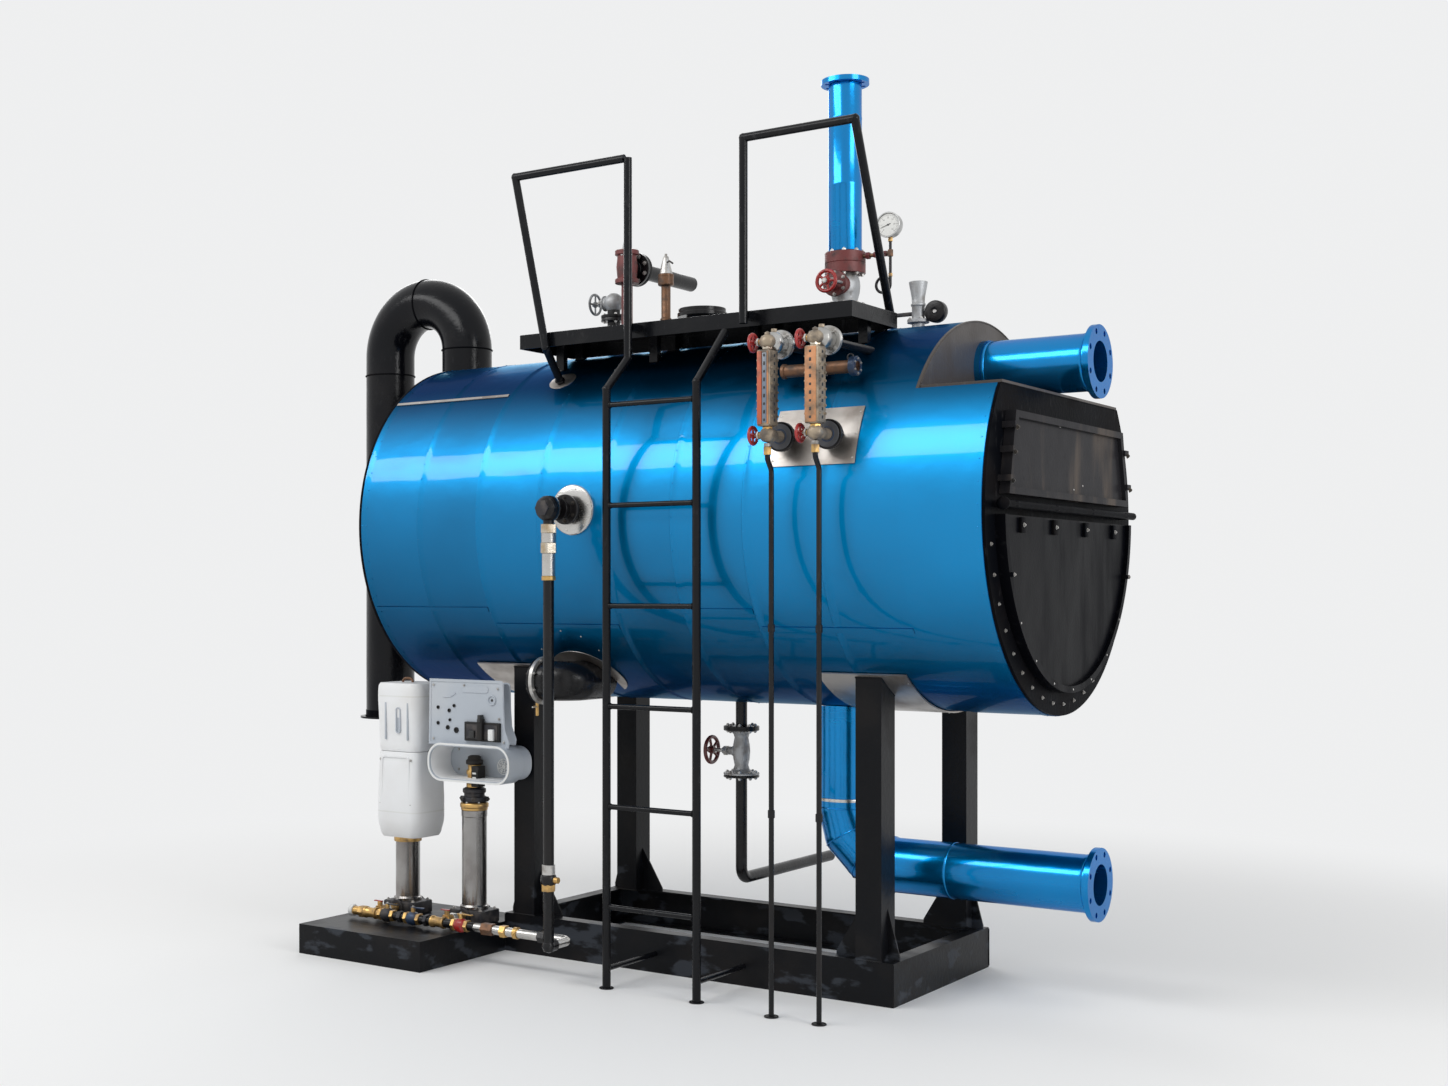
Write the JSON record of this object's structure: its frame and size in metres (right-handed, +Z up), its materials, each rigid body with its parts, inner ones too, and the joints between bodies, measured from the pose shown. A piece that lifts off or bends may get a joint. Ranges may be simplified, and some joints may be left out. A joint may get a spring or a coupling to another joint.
{
  "type": "horizontal steam boiler",
  "caption": "Horizontal fire-tube steam boiler with a blue clad drum on a black skid, ladder, top walkway, valves, level gauges, gas ducts and a rear flue bend.",
  "frame": {"origin": "middle of the skid's anchor bolts, on the floor", "axes": "+X along the drum to the smokebox end, +Y away from the ladder side, +Z up"},
  "size_m": [3.9448, 1.9, 3.75],
  "materials": {
    "skid_paint": "black paint, scuffed grey at the edges",
    "stainless_plate": "stained stainless sheet",
    "cladding": "glossy blue coated aluminium sheet",
    "duct_cladding": "glossy blue coated aluminium sheet",
    "smokebox_black": "heat resistant black paint with rust brown haze",
    "grey_plate": "dull grey plate",
    "rail_paint": "satin black paint",
    "valve_grey": "galvanised cast body",
    "valve_dark": "dark cast body",
    "valve_bronze": "brown bronze body",
    "valve_red": "dull red cast body",
    "wheel_red": "red handwheel paint",
    "wheel_grey": "grey cast handwheel",
    "gauge_brown": "brown red gauge body",
    "gauge_case": "pale gauge dial in a steel case",
    "pipe_black": "black pipe paint",
    "pump_grey": "light grey plastic motor covers on stainless columns",
    "pipe_brass": "brass fittings"
  },
  "bodies": {
    "root": {"base_long_rails": "skid_paint", "base_end_rails": "skid_paint", "legs": "skid_paint", "saddle_plates": "stainless_plate", "casing_course_1": "cladding", "casing_course_2": "cladding", "casing_course_3": "cladding", "casing_course_4": "cladding", "smokebox_casing": "cladding", "rear_end_plate": "smokebox_black", "front_end_plate": "smokebox_black", "pocket_plates": "grey_plate", "smoke_doors": "smokebox_black", "door_bar": "smokebox_black", "rear_smoke_hood": "smokebox_black", "flue_bend": "smokebox_black", "gas_ducts": "duct_cladding", "platform": "rail_paint", "handrails": "rail_paint", "ladder": "rail_paint", "stop_valve": "valve_grey", "steam_riser": "duct_cladding", "pressure_gauge": "gauge_case", "weight_safety_valve": "valve_dark", "spring_safety_valve": "valve_bronze", "vent_valve": "valve_red", "gate_valve": "valve_grey", "top_cover": "pipe_black", "level_gauges": "gauge_brown", "flashing_plates": "stainless_plate", "gauge_drains": "pipe_black", "level_switch": "gauge_brown", "feed_inlet": "pipe_black", "handhole": "pipe_black", "blowdown_valve": "valve_grey", "pump_frame": "skid_paint", "feed_pumps": "pump_grey", "pump_manifold": "pipe_brass"},
    "stop_valve_wheel": {"stop_valve_wheel": "wheel_red"},
    "gate_valve_wheel": {"gate_valve_wheel": "wheel_grey"},
    "gauge_wheel_1": {"gauge_wheel_1": "wheel_red"},
    "gauge_wheel_2": {"gauge_wheel_2": "wheel_red"},
    "gauge_wheel_3": {"gauge_wheel_3": "wheel_red"},
    "gauge_wheel_4": {"gauge_wheel_4": "wheel_red"},
    "blowdown_wheel": {"blowdown_wheel": "wheel_red"}
  },
  "joints": [
    {"name": "stop_valve_turn", "type": "hinge", "parent": "root", "child": "stop_valve_wheel", "pos_m": [0.5, -0.172, 2.885], "axis": [0, -1, 0], "range_deg": [0, 1800]},
    {"name": "gate_valve_turn", "type": "hinge", "parent": "root", "child": "gate_valve_wheel", "pos_m": [-0.845, 0.1, 2.95], "axis": [-1, 0, 0], "range_deg": [0, 1440]},
    {"name": "gauge_cock_1_turn", "type": "hinge", "parent": "root", "child": "gauge_wheel_1", "pos_m": [0.568, -0.9, 2.54], "axis": [-1, 0, 0], "range_deg": [0, 720]},
    {"name": "gauge_cock_2_turn", "type": "hinge", "parent": "root", "child": "gauge_wheel_2", "pos_m": [0.568, -0.9, 2.19], "axis": [-1, 0, 0], "range_deg": [0, 720]},
    {"name": "gauge_cock_3_turn", "type": "hinge", "parent": "root", "child": "gauge_wheel_3", "pos_m": [0.768, -0.9, 2.54], "axis": [-1, 0, 0], "range_deg": [0, 720]},
    {"name": "gauge_cock_4_turn", "type": "hinge", "parent": "root", "child": "gauge_wheel_4", "pos_m": [0.768, -0.9, 2.19], "axis": [-1, 0, 0], "range_deg": [0, 720]},
    {"name": "blowdown_turn", "type": "hinge", "parent": "root", "child": "blowdown_wheel", "pos_m": [-0.15, 0, 0.905], "axis": [-1, 0, 0], "range_deg": [0, 1440]}
  ]
}
